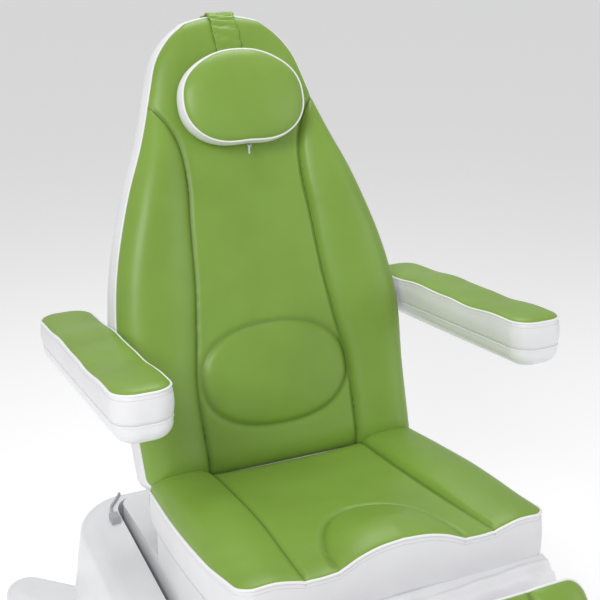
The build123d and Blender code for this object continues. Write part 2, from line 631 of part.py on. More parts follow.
def drive(x, tail, head, tube_start, rod_start, tube_stop):
    """A linear drive in the YZ plane at X = x: housing with its tail eye, and the rod with its pin.

    The guide tube stops tube_stop short of the rod's pin, which leaves room for what the rod draws in.
    """
    length = math.hypot(head[0] - tail[0], head[1] - tail[1])
    place = Plane(origin=(x, *tail), x_dir=(0, head[0] - tail[0], head[1] - tail[1]), z_dir=(1, 0, 0))
    eye = Cylinder(motor_eye, eye_width)
    housing = Pos((tube_start + eye_reach) / 2, 0, 0) * Box(tube_start - eye_reach, 46, 44)
    housing = fillet(housing.edges().filter_by(Axis.X), 8)
    neck = Pos(eye_reach / 2, 0, 0) * Box(eye_reach + 4, 22, eye_width)
    tube_end = length - tube_stop
    tube = Pos((tube_start + tube_end) / 2, 0, 0) * Rot(0, 90, 0) * Cylinder(19, tube_end - tube_start)
    bore = Pos((tube_start + tube_end) / 2 + 2, 0, 0) * Rot(0, 90, 0) * Cylinder(
        10.05, tube_end - tube_start + 4 - 8)
    body = eye + neck + housing + tube - bore - Cylinder(clevis_pin_radius + pin_fit, 30)
    rod_end = length - eye_reach
    rod = Pos((rod_start + rod_end) / 2, 0, 0) * Rot(0, 90, 0) * Cylinder(10, rod_end - rod_start)
    rod += Pos(length - eye_reach / 2, 0, 0) * Box(eye_reach + 6, 16, eye_width)
    rod += Pos(length, 0, 0) * Cylinder(14, eye_width)
    rod += Pos(length, 0, 0) * Cylinder(clevis_pin_radius, 2 * (fork_gap + fork_plate) + 2)
    return place * solid_of(body), place * solid_of(rod)


lift_tail = (drive_tube_y + 20.0, base_cross_top + 20.0)
pushing_tube_stop = 52.0
pulling_tube_stop = 98.0        # the backrest drive draws its rod in by 68
lift_motor, lift_rod = drive(0, lift_tail, (lift_end_y, lift_end_z), 130, 150, pushing_tube_stop)
write("lift_motor", lift_motor)
write("lift_rod", lift_rod)
lift_fork = [block(x0, x0 + 6, drive_tube_y + 4, drive_tube_y + 36, base_cross_top,
                   lift_tail[1] + 14) for x0 in (-14, 8)]
lift_tail_pin = rod_x(-16, 16, *lift_tail, clevis_pin_radius)
lift_fork = [p - rod_x(-30, 30, *lift_tail, clevis_pin_radius) for p in lift_fork]
write("lift_drive_bracket", *[solid_of(p) for p in lift_fork], lift_tail_pin)

drive_cross_y = 50.0
back_drive_x = 70.0
leg_drive_x = -70.0
back_tail = (drive_cross_y, 380.0)
leg_tail = (drive_cross_y, 400.0)
pull_behind = 70.0              # the backrest drive pulls this far behind the hinge
back_head = back_point(-hinge_below, hinge_behind + pull_behind)
back_motor, back_rod = drive(back_drive_x, back_tail, back_head, 100, 176, pulling_tube_stop)
write("back_motor", back_motor)
write("back_rod", back_rod)
leg_push = (14.0, -70.0)        # the leg drive's eye from the leg rest's pivot
leg_head = (leg_hinge_y + leg_push[0], leg_hinge_z + leg_push[1])
leg_motor, leg_rod = drive(leg_drive_x, leg_tail, leg_head, 110, 126, pushing_tube_stop)
write("leg_motor", leg_motor)
write("leg_rod", leg_rod)
tail_forks = []
for x, tail in ((back_drive_x, back_tail), (leg_drive_x, leg_tail)):
    cut = seat * block(-400, 400, -50, 600, frame_top - seat_tube, 200)
    for x0 in (x - 14, x + 8):
        plate = block(x0, x0 + 6, drive_cross_y - 14, drive_cross_y + 14, tail[1] - 12, 470) - cut
        tail_forks.append(plate - rod_x(-200, 200, *tail, clevis_pin_radius))
    tail_forks.append(rod_x(x - 16, x + 16, *tail, clevis_pin_radius))
write("seat_drive_brackets", *[solid_of(p) for p in tail_forks])

# the backrest's fork reaches down and back from its lower cross tube
back_fork = []
for x0 in (back_drive_x - fork_gap - fork_plate, back_drive_x + fork_gap):
    plate = bar_between(-hinge_below, -(hinge_behind + pull_behind), 34,
                        back_frame_face - back_tube - 14, x0, x0 + fork_plate, 40)
    plate -= rod_x(-200, 200, -hinge_below, -(hinge_behind + pull_behind), eye_room["back"])
    plate -= block(-400, 400, -100, 200, back_frame_face - back_tube, 200)
    back_fork.append(plate)
write("back_frame", *[back * solid_of(t) for t in back_sides + back_cross + back_fork])
leg_fork = []
head_a, head_o = leg_local(*leg_head)
for x0 in (leg_drive_x - fork_gap - fork_plate, leg_drive_x + fork_gap):
    plate = bar_between(head_a, head_o, -45, leg_frame_top - leg_tube - 16, x0, x0 + fork_plate, 36)
    plate -= rod_x(-200, 200, head_a, head_o, eye_room["leg"])
    plate -= block(-400, 400, -leg_length, 400, leg_frame_top - leg_tube, 200)
    leg_fork.append(plate)
write("leg_frame", *[leg * solid_of(t) for t in leg_sides + [leg_cross, leg_near_cross] + leg_fork])


# ---------------------------------------------------------------- electrics on the base
def hood_rear_at(z):
    """The hood's rear face, which leans in towards the top."""
    low, high = hood_floor_gap, hood_top_rear + hood_loft_over
    share = (z - low) / (high - low)
    return hood_rear_y + hood_flare - share * (hood_flare + hood_draw_in)


def hood_roof_at(y):
    return hood_top_rear + (y - hood_rear_y) * hood_roof_slope


box_rear_y = base_rear_y + 12
control_box = fillet(block(-120, 60, box_rear_y - 76, box_rear_y, base_cross_top, base_cross_top + 50)
                     .edges().filter_by(Axis.Z), 8)
write("control_box", control_box)
inlet_x, inlet_z = 115.0, 112.0
inlet_face = hood_rear_at(inlet_z) + 4
inlet = block(inlet_x - 25, inlet_x + 25, inlet_face - 34, inlet_face, inlet_z - 15, inlet_z + 15)
inlet -= block(inlet_x - 17, inlet_x + 17, inlet_face - 18, inlet_face + 1, inlet_z - 9, inlet_z + 9)
write("power_inlet", solid_of(inlet))
inlet_room = block(inlet_x - 25, inlet_x + 25, inlet_face - 60, inlet_face + 9, inlet_z - 15, inlet_z + 15)

# the handset hangs in a cradle on the hood's rear face: X across, Y down the face, Z outwards
wall_lean = math.atan2(hood_flare + hood_draw_in, hood_top_rear + hood_loft_over - hood_floor_gap)
panel = Plane(origin=(handset_x, hood_rear_at(handset_top_z), handset_top_z), x_dir=(1, 0, 0),
              z_dir=(0, math.cos(wall_lean), math.sin(wall_lean)))
cradle_wall = 4.0
cradle_play = 0.6
half_hand = handset_width / 2
half_cradle = half_hand + cradle_play + cradle_wall
cradle_top, cradle_low = 74.0, handset_length + cradle_play + cradle_wall
cradle_out = 2 * cradle_wall + handset_depth + 2 * cradle_play
cradle = block(-half_cradle, half_cradle, cradle_top, cradle_low, 0, cradle_out)
cradle -= block(-half_hand - cradle_play, half_hand + cradle_play, cradle_top - 1,
                cradle_low - cradle_wall, cradle_wall, cradle_out - cradle_wall)
cradle -= block(-half_hand + 8, half_hand - 8, cradle_top - 1, cradle_low - 24,
                cradle_out - cradle_wall - 1, cradle_out + 1)
handset_low = cradle_wall + cradle_play
lead_out = handset_low + handset_depth / 2
cradle -= block(-7, 7, cradle_low - 12, cradle_low + 1, lead_out - 7, lead_out + 7)
write("handset_cradle", panel * solid_of(cradle))
handset = block(-half_hand, half_hand, 0, handset_length, handset_low, handset_low + handset_depth)
handset = fillet(handset.edges().filter_by(Axis.Z), 12)
handset = fillet(handset.faces().sort_by(Axis.Z)[-1].edges(), 4)
button_seat = handset_low + handset_depth - 3
button_names = ("button_back_up", "button_back_down", "button_leg_up", "button_leg_down",
                "button_lift_up", "button_lift_down")
for index, name in enumerate(button_names):
    x = (-11, 11)[index % 2]
    y = 18 + 18 * (index // 2)
    place = Pos(x, y, button_seat)
    handset -= place * Pos(0, 0, 5) * Cylinder(button_radius + 0.2, 10)
    cap = place * Pos(0, 0, button_travel + 0.2 + button_height / 2) * Cylinder(button_radius, button_height)
    cap = fillet(cap.faces().sort_by(Axis.Z)[-1].edges(), 0.8)
    write(name, panel * solid_of(cap))
write("handset_shell", panel * solid_of(handset))

# the handset's lead: down out of its cradle, a loop, up the hood's rear and over its roof to a gland
gland_x, gland_y, gland_length = -318.0, 420.0, 26.0
gland_z = hood_roof_at(gland_y) + cable_radius + 3.5
lead_start = panel * Pos(0, handset_length, lead_out)
lead_away = panel * Pos(0, handset_length + 28, lead_out)
start, away = lead_start.position, lead_away.position


def on_wall(across, z, out):
    """A point of the lead beside the hood's rear face, from the handset's middle."""
    return (handset_x + across, hood_rear_at(z) + out, z)


lead_points = [
    (start.X, start.Y, start.Z),
    (away.X, away.Y, away.Z),
    on_wall(-2, away.Z - 33, 17),
    on_wall(-7, away.Z - 62, 16),
    on_wall(-29, away.Z - 86, 14),
    on_wall(-60, away.Z - 88, 12),
    on_wall(-83, away.Z - 62, 10),
    on_wall(-87, away.Z - 20, 9),
    on_wall(-83, away.Z + 32, 7),
    on_wall(-82, away.Z + 86, 6),
    on_wall(-85, away.Z + 136, 5),
    on_wall(-84, away.Z + 180, 4.2),
    (handset_x - 86, 520.6, 376.0),
    (handset_x - 91, 498.6, 393.4),
    (handset_x - 106, 474.0, 392.2),
    (gland_x, gland_y + 29, gland_z),
    (gland_x, gland_y, gland_z),
]


def lead_radii(points):
    """Each corner's arc is as large as its two runs allow."""
    radii = []
    for a, b, c in zip(points, points[1:], points[2:]):
        before, after = Vector(*b) - Vector(*a), Vector(*c) - Vector(*b)
        half_turn = math.radians(before.get_angle(after)) / 2
        radii.append(0.45 * min(before.length, after.length) / math.tan(half_turn))
    return radii


radii = lead_radii(lead_points)
print("lead radii", [round(r, 1) for r in radii])
lead_path = FilletPolyline(*lead_points, radius=radii)
lead = sweep(Plane(origin=lead_path @ 0, z_dir=lead_path % 0) * Circle(cable_radius), path=lead_path)
print("lead length", round(lead_path.length, 1), "volume ratio",
      round(lead.volume / (math.pi * cable_radius ** 2 * lead_path.length), 4))
write("handset_lead", solid_of(lead))
gland = block(gland_x - 9, gland_x + 9, gland_y - gland_length, gland_y,
              hood_roof_at(gland_y) - 1, gland_z + 9)
gland = fillet(gland.faces().sort_by(Axis.Z)[-1].edges(), 5)
gland -= Pos(0, hood_rear_y, hood_top_rear) * Rot(hood_roof_degrees, 0, 0) * Pos(0, 0, -50) * Box(
    1400, 2600, 100)
write("lead_gland", solid_of(gland))


# ---------------------------------------------------------------- covers
def hood_solid(shrink, bottom, lift):
    """The hood's outer form, flared towards the floor and sloping up to the rear."""
    half = hood_half_width - shrink
    front, rear = hood_front_y + shrink, hood_rear_y - shrink
    middle, length = (front + rear) / 2, rear - front
    corner = hood_corner - shrink
    low = Pos(0, middle, bottom) * RectangleRounded(
        2 * (half + hood_flare), length + 2 * hood_flare, corner + hood_flare)
    high = Pos(0, middle, hood_top_rear + hood_loft_over) * RectangleRounded(
        2 * (half - hood_draw_in), length - 2 * hood_draw_in, corner)
    form = loft([low, high])
    roof = Pos(0, hood_rear_y, hood_top_rear + lift) * Rot(hood_roof_degrees, 0, 0) * Pos(
        0, 0, 200) * Box(1400, 2600, 400)
    return form - roof


hood_outer = hood_solid(0, hood_floor_gap, 0)
hood_outer = fillet(hood_outer.faces().sort_by(Axis.Z)[-1].edges(), hood_round)
opening_half = cover_half_width + cover_gap
opening_front, opening_rear = cover_front_y - cover_gap, cover_rear_y + cover_gap
opening_plan = Pos(0, (opening_front + opening_rear) / 2) * RectangleRounded(
    2 * opening_half, opening_rear - opening_front, cover_corner + cover_gap)
throat = extrude(opening_plan, 800)
lip_plan = offset(opening_plan, 4)
lip = extrude(lip_plan, 800) & hood_solid(0, hood_floor_gap, -3) & block(-900, 900, -900, 900, 262, 500)


def foot_cover(side, tip_y, shrink, low, high, edge):
    """One tapering foot of the hood, or its hollow where it is shrunk."""
    root_y = hood_rear_y - 60 if tip_y > 0 else hood_front_y + 60
    tip = Pos(side * foot_tip_x, tip_y) * Circle(foot_tip_radius - shrink)
    root = Pos(side * (hood_half_width - 62), root_y) * Circle(foot_root_radius - shrink)
    foot = Pos(0, 0, low) * extrude(make_hull(tip.edges() + root.edges()), high - low)
    return fillet(foot.faces().sort_by(Axis.Z)[-1].edges(), edge)


hollow = hood_solid(hood_wall, hood_floor_gap - 1, -hood_roof_wall)
hollow = fillet(hollow.faces().sort_by(Axis.Z)[-1].edges(), hood_round - hood_wall)
hood = hood_outer
bosses = []
for tip_y in (foot_front_y, foot_rear_y):
    for side in (1, -1):
        hood += foot_cover(side, tip_y, 0, hood_floor_gap, foot_top_z, foot_edge)
        hollow += foot_cover(side, tip_y, hood_wall, hood_floor_gap - 1, foot_top_z - hood_wall,
                             foot_edge - hood_wall)
        low = base_tube_bottom + foot_arm_height
        boss = Cylinder(10, foot_top_z - low - 3, align=(Align.CENTER, Align.CENTER, Align.MIN))
        bosses.append(Pos(side * foot_tip_x, tip_y, low) * boss)
hood = hood - hollow + lip - throat
# the hood is screwed down on the foot arms at these bosses
for boss in bosses:
    hood += boss
hood -= inlet_room
write("base_hood", max(hood.solids(), key=lambda s: s.volume))

side_profile = Polyline(
    (cover_front_y, cover_bottom_z), (cover_rear_y, cover_bottom_z), (cover_rear_y, cover_deck_z - 8),
    (joint_y - 40, cover_deck_z),
    (joint_y - 40, seat_underside(joint_y - 40) - 1), (cover_front_y, seat_underside(cover_front_y) - 1),
    close=True)
side_face = Plane.YZ * make_face(side_profile)
cover_form = Pos(-cover_half_width, 0, 0) * extrude(side_face, 2 * cover_half_width)
cover_plan = Pos(0, (cover_front_y + cover_rear_y) / 2) * RectangleRounded(
    2 * cover_half_width, cover_rear_y - cover_front_y, cover_corner)
cover_outer = cover_form & extrude(cover_plan, 800)
inner_plan = offset(cover_plan, -cover_wall)
cover_inner = extrude(inner_plan, 800) & (Pos(0, 0, -cover_wall) * cover_form)
cover_inner += block(-cover_half_width + 40, cover_half_width - 40, cover_front_y + 40,
                     joint_y - 50, cover_bottom_z - 20, 700)
cover_inner += Pos(0, 0, -60) * cover_inner
upper_cover = cover_outer - cover_inner
# the seat frame, board and hinge lugs pass through the cover's open top
open_half = cover_half_width - cover_wall
upper_cover -= block(-open_half, open_half, cover_front_y + cover_wall, joint_y - 30, cover_deck_z + 0.5, 700)
upper_cover -= block(-open_half, open_half, cover_front_y + 30, joint_y - 46, cover_deck_z - 30, 700)
upper_cover -= block(-open_half, open_half, cover_front_y - 1, cover_front_y + 40, front_wall_top, 700)
upper_cover -= block(40, 100, joint_y - 60, joint_y + 160, cover_deck_z - 30, cover_deck_z + 30)
write("upper_cover", max(upper_cover.solids(), key=lambda s: s.volume))
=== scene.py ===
import bpy
import bmesh
import json
import math
from mathutils import Matrix, Vector, noise
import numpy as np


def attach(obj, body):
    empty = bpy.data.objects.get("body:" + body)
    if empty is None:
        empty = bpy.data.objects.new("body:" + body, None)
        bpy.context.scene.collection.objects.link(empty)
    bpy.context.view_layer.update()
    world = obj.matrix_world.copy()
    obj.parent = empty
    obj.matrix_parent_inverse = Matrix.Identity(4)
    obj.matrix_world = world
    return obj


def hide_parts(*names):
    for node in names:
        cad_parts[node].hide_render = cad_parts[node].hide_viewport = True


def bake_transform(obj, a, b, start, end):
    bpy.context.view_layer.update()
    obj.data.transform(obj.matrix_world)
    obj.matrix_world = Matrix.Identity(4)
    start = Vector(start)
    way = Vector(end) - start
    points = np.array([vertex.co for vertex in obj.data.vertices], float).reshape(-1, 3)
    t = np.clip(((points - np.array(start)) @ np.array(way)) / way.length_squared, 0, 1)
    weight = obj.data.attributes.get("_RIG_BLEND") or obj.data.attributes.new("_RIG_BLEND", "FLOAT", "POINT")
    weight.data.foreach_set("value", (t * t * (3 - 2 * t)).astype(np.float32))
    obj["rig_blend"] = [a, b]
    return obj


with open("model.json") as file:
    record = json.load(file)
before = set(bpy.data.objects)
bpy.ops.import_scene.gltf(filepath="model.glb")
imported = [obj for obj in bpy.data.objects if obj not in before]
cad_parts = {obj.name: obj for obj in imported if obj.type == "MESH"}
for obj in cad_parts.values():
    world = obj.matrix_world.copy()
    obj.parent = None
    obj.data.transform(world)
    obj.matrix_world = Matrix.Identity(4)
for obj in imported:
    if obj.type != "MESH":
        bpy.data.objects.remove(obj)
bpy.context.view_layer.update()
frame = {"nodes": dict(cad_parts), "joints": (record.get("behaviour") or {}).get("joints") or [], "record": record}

# Facial treatment bed. Metres; X across the bed, -Y towards the sitter's feet, +Z up.
LEAN = math.radians(20.0)       # backrest, from upright
TILT = math.radians(5.6)        # seat, front edge high
DROOP = math.radians(45.0)      # leg rest, below level
ARM_SLOPE = math.radians(5.2)   # armrests, front end high

joint_at = {j["name"]: Vector(j["pos_m"]) for j in frame["joints"] if j.get("pos_m")}
back_up = Vector((0, math.sin(LEAN), math.cos(LEAN)))
back_out = Vector((0, -math.cos(LEAN), math.sin(LEAN)))
HINGE_BELOW = 0.030             # the backrest's pivot lies this far under the seat line
HINGE_BEHIND = 0.045            # and this far behind the backrest's face
LEG_PIVOT_BEHIND = 0.022        # the leg rest's pivot lies this far behind the seat's front
LEG_PIVOT_BELOW = 0.1427        # and this far under its front top edge
leg_pivot = joint_at["leg_raise"]
SEAT_FRONT = Vector((0, leg_pivot.y - LEG_PIVOT_BEHIND, leg_pivot.z + LEG_PIVOT_BELOW))
LEG_FROM_SEAT = Vector((0, -0.105, -0.068))
ARM_FROM_SEAT = Vector((0, 0.158, 0.283))


# ---------------------------------------------------------------- helpers
def placed(origin, along, out):
    """A frame with X across the bed, Y along and Z out of the surface."""
    across = along.cross(out)
    place = Matrix((across, along, out)).transposed().to_4x4()
    place.translation = origin
    return place


BACK = placed(joint_at["back_recline"] + HINGE_BELOW * back_up + HINGE_BEHIND * back_out, back_up, back_out)
SEAT = placed(SEAT_FRONT, Vector((0, math.cos(TILT), -math.sin(TILT))),
              Vector((0, math.sin(TILT), math.cos(TILT))))
LEG = placed(SEAT_FRONT + LEG_FROM_SEAT, Vector((0, math.cos(DROOP), math.sin(DROOP))),
             Vector((0, -math.sin(DROOP), math.cos(DROOP))))
ARM = placed(SEAT_FRONT + ARM_FROM_SEAT, Vector((0, math.cos(ARM_SLOPE), -math.sin(ARM_SLOPE))),
             Vector((0, math.sin(ARM_SLOPE), math.cos(ARM_SLOPE))))


def through(points, x):
    """The smooth line through a few (place, value) points."""
    if x <= points[0][0]:
        return points[0][1]
    if x >= points[-1][0]:
        return points[-1][1]
    i = max(k for k in range(len(points) - 1) if points[k][0] <= x)
    (x0, y0), (x1, y1) = points[i], points[i + 1]
    before, after = points[max(i - 1, 0)], points[min(i + 2, len(points) - 1)]
    width = x1 - x0
    t = (x - x0) / width
    m0 = (y1 - before[1]) / (x1 - before[0]) * width
    m1 = (after[1] - y0) / (after[0] - x0) * width
    return ((2 * t ** 3 - 3 * t ** 2 + 1) * y0 + (t ** 3 - 2 * t ** 2 + t) * m0
            + (3 * t ** 2 - 2 * t ** 3) * y1 + (t ** 3 - t ** 2) * m1)


def ease(x):
    """From 0 to 1, slow at both ends."""
    x = min(max(x, 0.0), 1.0)
    return x * x * (3 - 2 * x)


def roll(edge, width, drop):
    """How far a padded face falls towards its rim, edge metres away."""
    near = 1 - min(max(edge, 0.0) / width, 1.0)
    return drop * (1 - math.sqrt(max(0.0, 1 - near * near)))


SEAM_DEPTH, SEAM_WIDTH = 0.0050, 0.0060
CREASE_WIDTH, SOFT_CREASE_WIDTH = 0.0022, 0.0034
PUCKER_REACH = 0.018            # how far the fine puckers spread from a seam
PIPE_RADIUS, FINE_PIPE_RADIUS, SEAM_CORD_RADIUS = 0.0026, 0.0022, 0.0013
PIPE_LIFT = Vector((0, 0, 0.0008))
SEWING_THREAD = 0.0006


def groove(distance, depth, width):
    """The sunk line that a seam draws into a padded face."""
    return -depth * math.exp(-(distance / width) ** 2)


def finish_mesh(bm, name, place, materials):
    """A bmesh in its local frame becomes an object at the origin."""
    bmesh.ops.transform(bm, matrix=place, verts=bm.verts)
    mesh = bpy.data.meshes.new(name)
    bm.to_mesh(mesh)
    bm.free()
    for material in materials:
        mesh.materials.append(material)
    mesh.polygons.foreach_set("use_smooth", [True] * len(mesh.polygons))
    piece = bpy.data.objects.new(name, mesh)
    bpy.context.scene.collection.objects.link(piece)
    return piece


def pad_face(columns, rows, shape):
    """A grid whose (s, t) from -1 to 1 is bent by shape(s, t) into a face; shape gives (x, y, z) and the strength
    of the painted shade in its creases.
    """
    bm = bmesh.new()
    bmesh.ops.create_grid(bm, x_segments=columns, y_segments=rows, size=1.0)
    crease_shade = bm.verts.layers.float.new("crease_shade")
    for v in bm.verts:
        x, y, z, fold = shape(v.co.x, v.co.y)
        v.co = (x, y, z)
        v[crease_shade] = fold
    return bm


def rim_of(bm):
    """The rim's vertices in order."""
    edges = [e for e in bm.edges if e.is_boundary]
    start = edges[0].verts[0]
    loop, last, here = [start], None, start
    while True:
        onward = [e for e in here.link_edges if e.is_boundary and e.other_vert(here) is not last]
        last, here = here, onward[0].other_vert(here)
        if here is start:
            return loop
        loop.append(here)


def rim_outward(bm):
    outward = {}
    for e in bm.edges:
        if not e.is_boundary:
            continue
        a, b = e.verts
        along = b.co - a.co
        across = Vector((along.y, -along.x, 0))
        if across.dot((a.co + b.co) / 2 - e.link_faces[0].calc_center_median()) < 0:
            across.negate()
        if across.length > 0:
            across.normalize()
        for v in e.verts:
            outward[v] = outward.get(v, Vector()) + across
    return {v: n.normalized() for v, n in outward.items()}


def add_sides(bm, bottom, bulge, rows, material=1):
    """Sides drawn down from the rim to bottom(x, y), a little fuller halfway, and closed underneath."""
    outward = rim_outward(bm)
    origin = {v: v.co.copy() for v in outward}
    source = {v: v for v in outward}
    crease_shade = bm.verts.layers.float["crease_shade"]
    rim = [e for e in bm.edges if e.is_boundary]
    for row in range(1, rows + 1):
        share = row / rows
        made = bmesh.ops.extrude_edge_only(bm, edges=rim)["geom"]
        fresh = [g for g in made if isinstance(g, bmesh.types.BMVert)]
        below = {}
        for v in fresh:
            for e in v.link_edges:
                other = e.other_vert(v)
                if other in source:
                    below[v] = source[other]
        for v, top in below.items():
            home = origin[top]
            low = bottom(home.x, home.y)
            out = bulge * math.sin(math.pi * share)
            v.co = home + outward[top] * out
            v.co.z = home.z + (low - home.z) * share
            v[crease_shade] = 0.0
        source = below
        for g in made:
            if isinstance(g, bmesh.types.BMFace):
                g.material_index = material
        rim = [g for g in made if isinstance(g, bmesh.types.BMEdge) and g.is_boundary]
    filled = bmesh.ops.holes_fill(bm, edges=rim, sides=0)["faces"]
    for f in filled:
        f.material_index = material
    bmesh.ops.recalc_face_normals(bm, faces=bm.faces)


def piping(name, points, radius, material, body, cyclic=True):
    """A round cord sewn in a seam: a curve with a round section."""
    curve = bpy.data.curves.new(name, "CURVE")
    curve.dimensions = "3D"
    curve.bevel_depth = radius
    curve.bevel_resolution = 2
    curve.use_fill_caps = True
    spline = curve.splines.new("POLY")
    spline.points.add(len(points) - 1)
    for knot, point in zip(spline.points, points):
        knot.co = (*point, 1)
    spline.use_cyclic_u = cyclic
    curve.materials.append(material)
    piece = bpy.data.objects.new(name, curve)
    bpy.context.scene.collection.objects.link(piece)
    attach(piece, body)
    return piece


def stitches(name, points, material, body, thick=0.0005, length=0.0034, gap=0.0016):
    """A row of short raised stitches along a line of points."""
    curve = bpy.data.curves.new(name, "CURVE")
    curve.dimensions = "3D"
    curve.bevel_depth = thick
    curve.bevel_resolution = 0
    curve.use_fill_caps = True
    travelled, down = 0.0, None
    for a, b in zip(points, points[1:]):
        step = (b - a).length
        here = 0.0
        while step - here > 1e-9:
            phase = travelled % (length + gap)
            room = (length if phase < length else length + gap) - phase
            move = max(min(room, step - here), 1e-6)
            if phase < length:
                p = a.lerp(b, here / step)
                q = a.lerp(b, min((here + move) / step, 1))
                if down is None:
                    down = [p]
                down.append(q)
            if (phase < length and room <= step - here) or phase >= length:
                if down and len(down) > 1:
                    spline = curve.splines.new("POLY")
                    spline.points.add(1)
                    spline.points[0].co = (*down[0], 1)
                    spline.points[1].co = (*down[-1], 1)
                down = None
            here += move
            travelled += move
    curve.materials.append(material)
    piece = bpy.data.objects.new(name, curve)
    bpy.context.scene.collection.objects.link(piece)
    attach(piece, body)
    return piece


def beside_rim(loop, place, drop, out, closed=True):
    """The line that runs drop below a pad's rim, out to its side."""
    points = []
    count = len(loop)
    middle = sum(loop, Vector()) / count
    for i in range(count):
        a = loop[i - 1] if closed or i > 0 else loop[i]
        b = loop[(i + 1) % count] if closed or i < count - 1 else loop[i]
        away = Vector((b.y - a.y, a.x - b.x, 0)).normalized()
        if away.dot(loop[i] - middle) < 0:
            away.negate()
        points.append(place @ (loop[i] + out * away - Vector((0, 0, drop))))
    return points + points[:1] if closed else points


def rounded(x, y, half_x, y0, y1, corner):
    """Moves a point of a rectangle so that the rectangle's corners become round."""
    cx = half_x - corner
    dx = max(abs(x) - cx, 0.0)
    dy = max(y0 + corner - y, y - (y1 - corner), 0.0)
    if dx > 0 and dy > 0:
        shrink = max(dx, dy) / math.hypot(dx, dy)
        x = math.copysign(cx + dx * shrink, x)
        y = y0 + corner - dy * shrink if y < (y0 + y1) / 2 else y1 - corner + dy * shrink
    return x, y


def lay_columns(s, half, seam):
    """A column's place across a pad: one column lies on the seam, and the columns crowd towards it."""
    side = abs(s)
    share = min(seam / half, 0.93)
    if side <= 0.5:
        place = share * (1 - (1 - side / 0.5) ** 1.35)
    else:
        place = share + (1 - share) * ((side - 0.5) / 0.5) ** 1.35
    return math.copysign(place, s)


def soft_noise(x, y, scale, seed):
    return noise.noise(Vector((x * scale, y * scale, seed)))


# ---------------------------------------------------------------- materials
def new_material(name):
    material = bpy.data.materials.new(name)
    material.use_nodes = True
    nodes = material.node_tree.nodes
    return material, nodes, material.node_tree.links, nodes["Principled BSDF"]


def leather(name, colour, dark, rough):
    """Smooth synthetic leather: fine grain, soft mottling, and painted shade that makes the creases darker and
    duller.
    """
    material, nodes, links, shader = new_material(name)
    shader.inputs["Roughness"].default_value = rough
    shader.inputs["Specular IOR Level"].default_value = 0.45
    place = nodes.new("ShaderNodeTexCoord")
    mottle = nodes.new("ShaderNodeTexNoise")
    mottle.inputs["Scale"].default_value = 7.0
    mottle.inputs["Detail"].default_value = 3.0
    links.new(place.outputs["Object"], mottle.inputs["Vector"])
    shade = nodes.new("ShaderNodeMix")
    shade.data_type = "RGBA"
    shade.inputs["A"].default_value = (*dark, 1)
    shade.inputs["B"].default_value = (*colour, 1)
    spread = nodes.new("ShaderNodeMapRange")
    spread.inputs["From Min"].default_value = 0.15
    spread.inputs["From Max"].default_value = 0.6
    links.new(mottle.outputs["Fac"], spread.inputs["Value"])
    links.new(spread.outputs["Result"], shade.inputs["Factor"])
    # painted shade: the crease mask mixes the colour towards a third of the dark tone along the seams' grooves
    crease_shade = nodes.new("ShaderNodeAttribute")
    crease_shade.attribute_name = "crease_shade"
    fold = nodes.new("ShaderNodeMix")
    fold.data_type = "RGBA"
    fold.inputs["B"].default_value = (*[c * 0.35 for c in dark], 1)
    links.new(crease_shade.outputs["Fac"], fold.inputs["Factor"])
    links.new(shade.outputs["Result"], fold.inputs["A"])
    links.new(fold.outputs["Result"], shader.inputs["Base Color"])
    grain = nodes.new("ShaderNodeTexVoronoi")
    grain.inputs["Scale"].default_value = 620.0
    links.new(place.outputs["Object"], grain.inputs["Vector"])
    pores = nodes.new("ShaderNodeBump")
    pores.inputs["Strength"].default_value = 0.10
    pores.inputs["Distance"].default_value = 0.0004
    links.new(grain.outputs["Distance"], pores.inputs["Height"])
    wave = nodes.new("ShaderNodeTexNoise")
    wave.inputs["Scale"].default_value = 45.0
    links.new(place.outputs["Object"], wave.inputs["Vector"])
    dents = nodes.new("ShaderNodeBump")
    dents.inputs["Strength"].default_value = 0.07
    dents.inputs["Distance"].default_value = 0.002
    links.new(wave.outputs["Fac"], dents.inputs["Height"])
    links.new(pores.outputs["Normal"], dents.inputs["Normal"])
    links.new(dents.outputs["Normal"], shader.inputs["Normal"])
    return material


def moulded(name, colour, rough, coat=0.0, texture=0.03, scale=260.0, metal=0.0, worn=None):
    """Moulded plastic, paint or metal: an even colour with a faint skin and a little wear."""
    material, nodes, links, shader = new_material(name)
    shader.inputs["Roughness"].default_value = rough
    shader.inputs["Coat Weight"].default_value = coat
    shader.inputs["Metallic"].default_value = metal
    place = nodes.new("ShaderNodeTexCoord")
    cloud = nodes.new("ShaderNodeTexNoise")
    cloud.inputs["Scale"].default_value = 5.0
    cloud.inputs["Detail"].default_value = 4.0
    links.new(place.outputs["Object"], cloud.inputs["Vector"])
    tone = nodes.new("ShaderNodeMix")
    tone.data_type = "RGBA"
    tone.inputs["A"].default_value = (*(worn or [c * 0.93 for c in colour]), 1)
    tone.inputs["B"].default_value = (*colour, 1)
    spread = nodes.new("ShaderNodeMapRange")
    spread.inputs["From Min"].default_value = 0.3
    spread.inputs["From Max"].default_value = 0.55
    links.new(cloud.outputs["Fac"], spread.inputs["Value"])
    links.new(spread.outputs["Result"], tone.inputs["Factor"])
    links.new(tone.outputs["Result"], shader.inputs["Base Color"])
    skin = nodes.new("ShaderNodeTexNoise")
    skin.inputs["Scale"].default_value = scale
    links.new(place.outputs["Object"], skin.inputs["Vector"])
    bump = nodes.new("ShaderNodeBump")
    bump.inputs["Strength"].default_value = texture
    bump.inputs["Distance"].default_value = 0.001
    links.new(skin.outputs["Fac"], bump.inputs["Height"])
    links.new(bump.outputs["Normal"], shader.inputs["Normal"])
    return material


